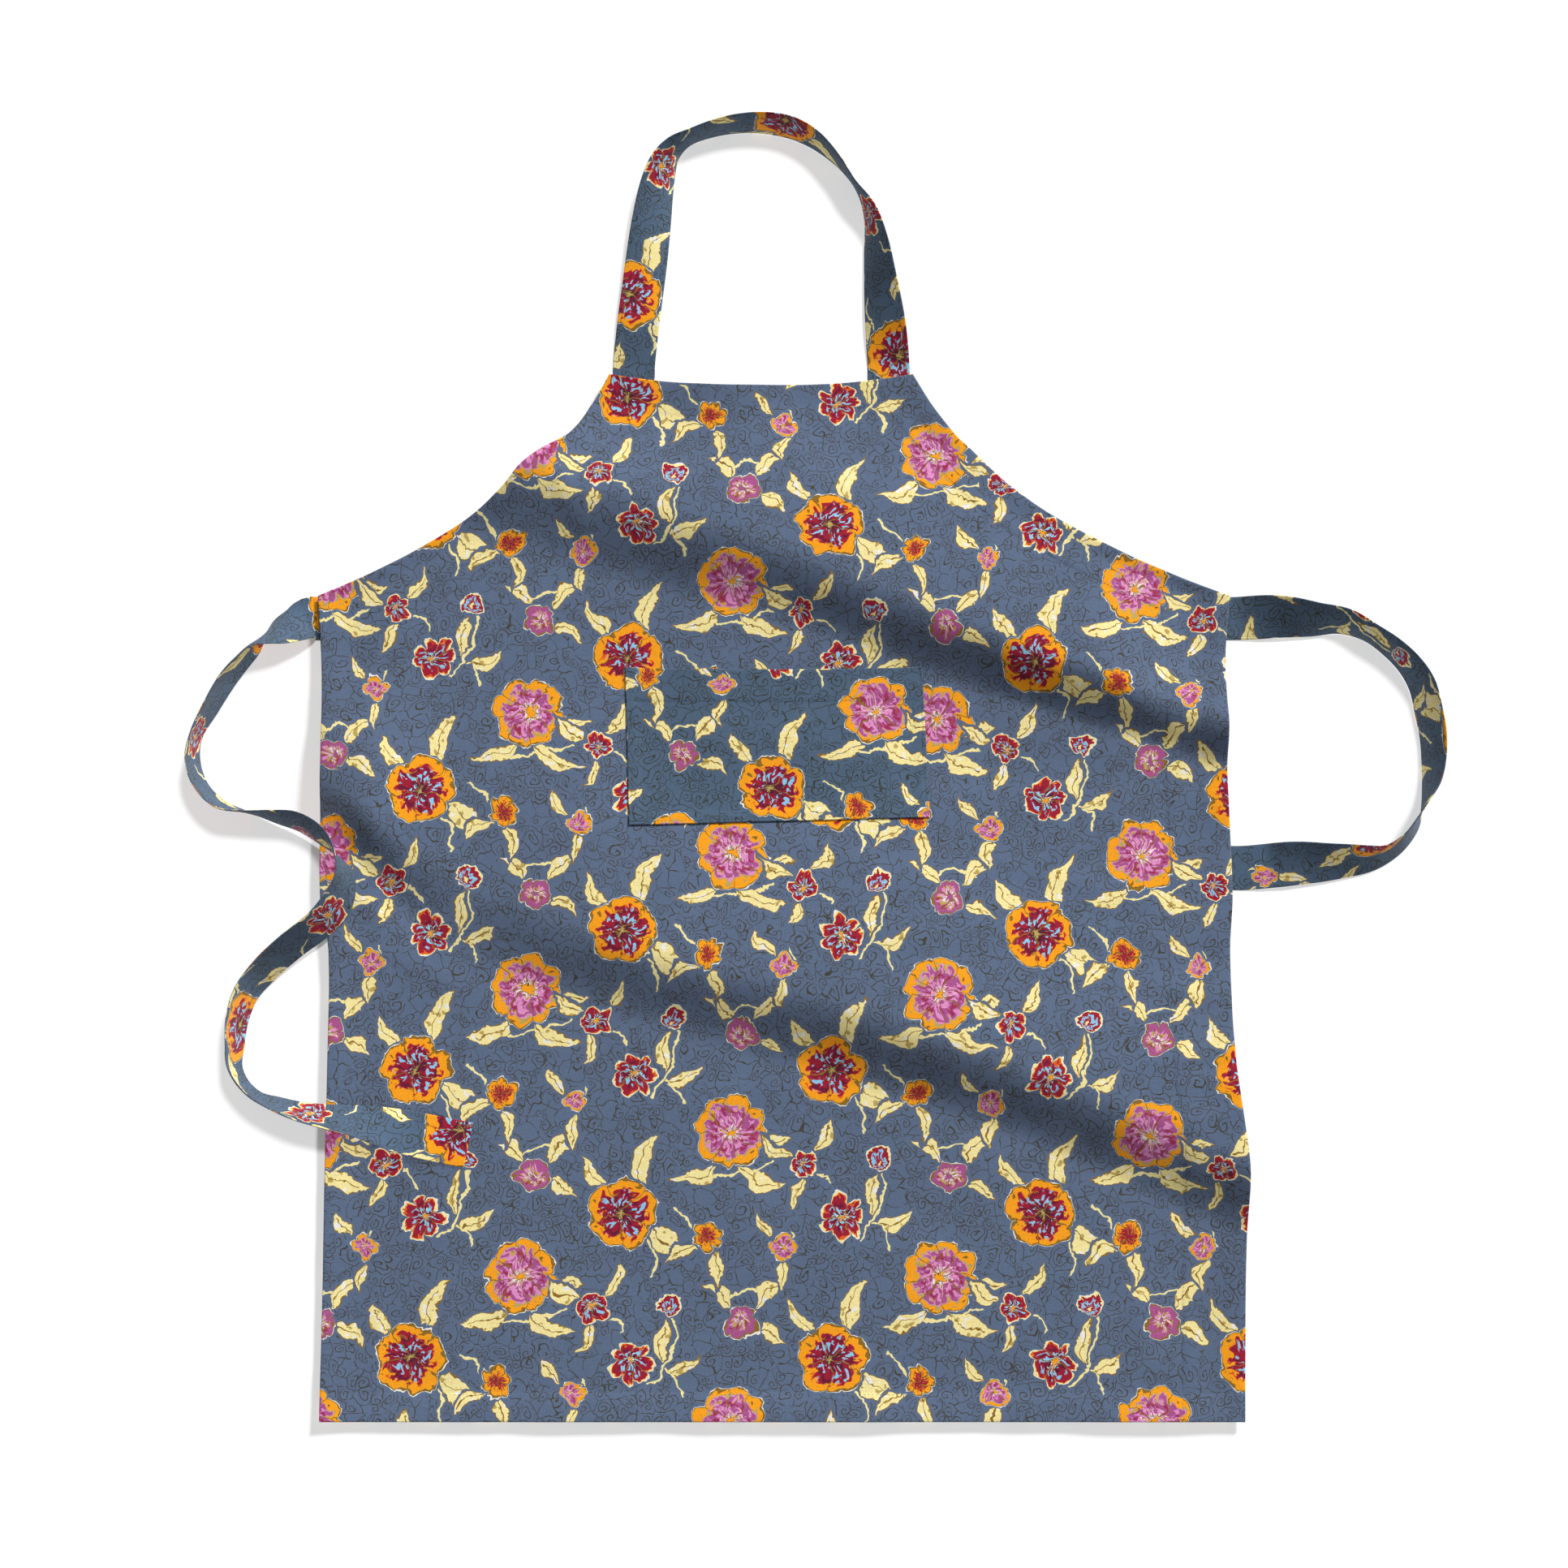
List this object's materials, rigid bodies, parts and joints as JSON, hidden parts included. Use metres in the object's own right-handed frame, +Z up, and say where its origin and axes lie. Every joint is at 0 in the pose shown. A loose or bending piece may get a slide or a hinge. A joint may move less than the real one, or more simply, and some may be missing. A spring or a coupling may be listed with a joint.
{
  "type": "cotton bib apron",
  "caption": "Cotton bib apron with a printed floral cloth, a patch pocket, a neck strap and waist ties, lying flat, front up.",
  "frame": {"origin": "middle of the bounding box on the plane that the apron lies on", "axes": "+Z up out of the cloth's front, +Y along the apron towards the neck strap, +X to the right as seen from the front"},
  "size_m": [1.0106, 1.0658, 0.0414],
  "materials": {
    "body_cloth": "plain-woven cotton, slate blue with a fine dark scroll ground and a printed floral pattern, matte",
    "double_cloth": "the same printed cotton, doubled, a little darker, matte, with edge stitching"
  },
  "bodies": {
    "root": {"apron_panel": "body_cloth", "pocket": "double_cloth", "neck_strap": "double_cloth", "waist_tie_left": "double_cloth", "waist_tie_right": "double_cloth"}
  },
  "joints": []
}
